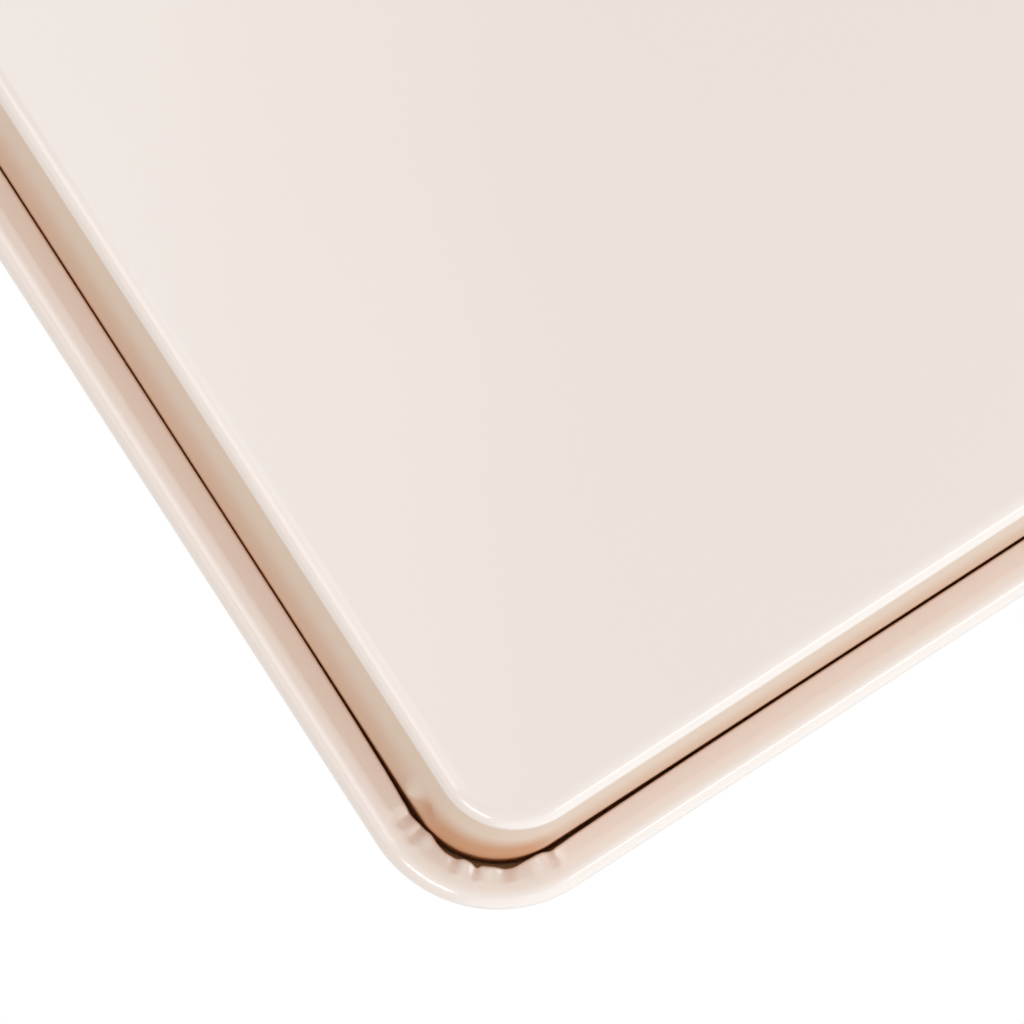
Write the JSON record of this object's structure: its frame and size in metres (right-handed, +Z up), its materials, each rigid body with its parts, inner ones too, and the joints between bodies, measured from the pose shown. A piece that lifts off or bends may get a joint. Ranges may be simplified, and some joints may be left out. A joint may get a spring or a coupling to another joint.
{
  "type": "rectangular cake pan",
  "caption": "Rectangular cake pan pressed from sheet metal, with a flat floor, walls that lean out, rounded corners and a rim rolled over a stiffening wire, for baking and turning out cakes.",
  "frame": {"origin": "centre of the floor's underside", "axes": "+X along the long sides, +Y along the short sides, +Z up out of the open mouth"},
  "size_m": [0.3472, 0.2462, 0.05],
  "materials": {
    "champagne_coat": "satin",
    "dark_wire": "matte"
  },
  "bodies": {
    "root": {"pan_body": "champagne_coat", "rim_wire": "dark_wire"}
  },
  "joints": []
}
